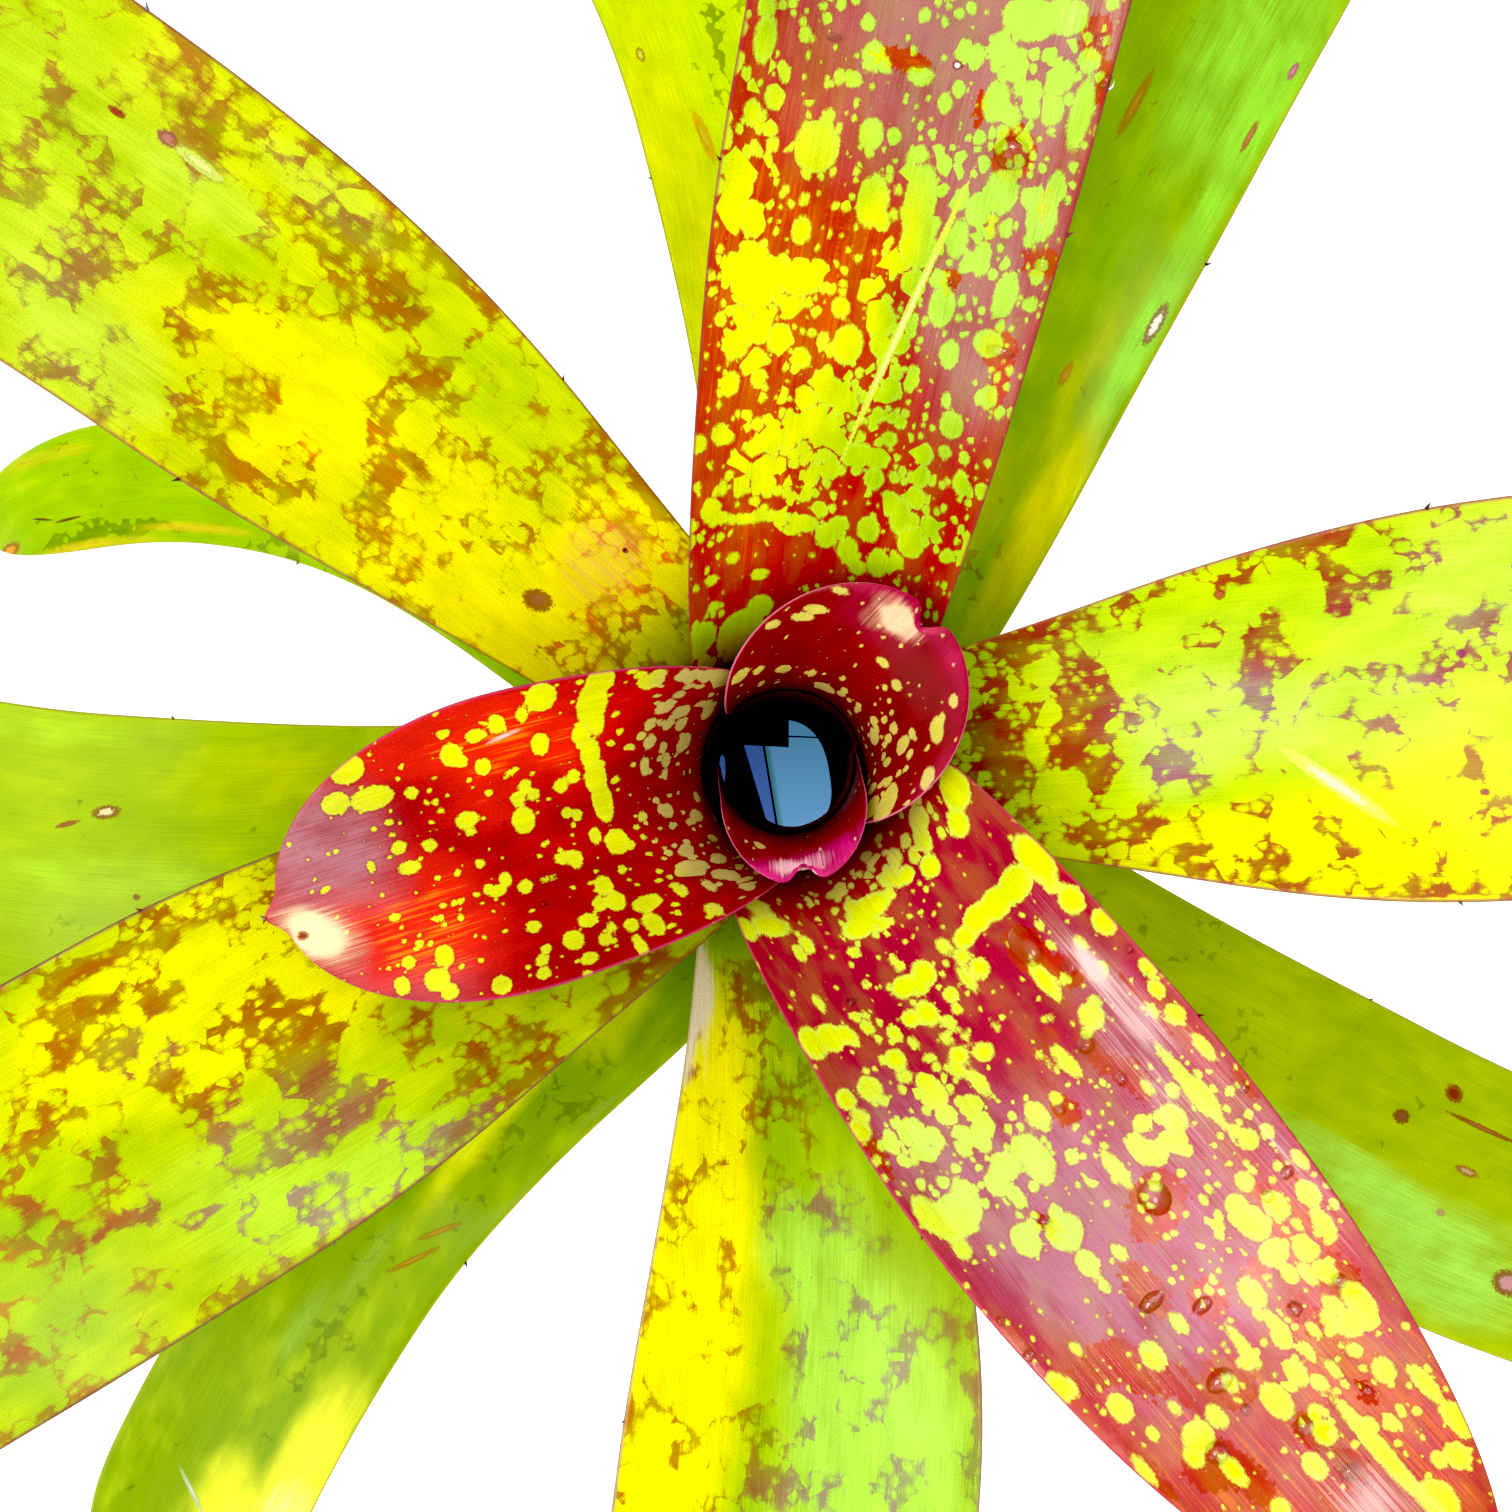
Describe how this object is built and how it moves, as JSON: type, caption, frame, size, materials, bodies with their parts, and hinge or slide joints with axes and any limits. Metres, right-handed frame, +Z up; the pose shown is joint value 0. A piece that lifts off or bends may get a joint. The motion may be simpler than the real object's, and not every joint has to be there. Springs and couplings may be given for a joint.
{
  "type": "neoregelia bromeliad",
  "caption": "Open bromeliad rosette: strap leaves with small marginal spines, their sheaths forming a water-filled cup, standing on its cut stock.",
  "frame": {"origin": "middle of the flat cut face under the stock, on the axis of the rosette", "axes": "+Z up along the axis of the rosette; +X and +Y are level, with the third-youngest leaf towards -X and the fifth-youngest towards +Y"},
  "size_m": [0.5116, 0.5211, 0.2196],
  "materials": {
    "red_leaf": "waxy leaf, deep red with yellow-green spots",
    "blotched_leaf": "waxy leaf, yellow-green with red-brown blotches",
    "green_leaf": "waxy leaf, plain lime to dark green",
    "water": "still dark water, mirror smooth",
    "stock": "rough brown stem and trimmed roots"
  },
  "bodies": {
    "root": {"stock": "stock", "tank_water": "water", "leaf_01": "red_leaf", "leaf_02": "red_leaf", "leaf_03": "red_leaf", "leaf_04": "red_leaf", "leaf_05": "blotched_leaf", "leaf_06": "blotched_leaf", "leaf_07": "blotched_leaf", "leaf_08": "blotched_leaf", "leaf_09": "blotched_leaf", "leaf_10": "green_leaf", "leaf_11": "green_leaf", "leaf_12": "green_leaf", "leaf_13": "green_leaf", "leaf_14": "green_leaf", "leaf_15": "green_leaf", "leaf_16": "green_leaf"}
  },
  "joints": []
}
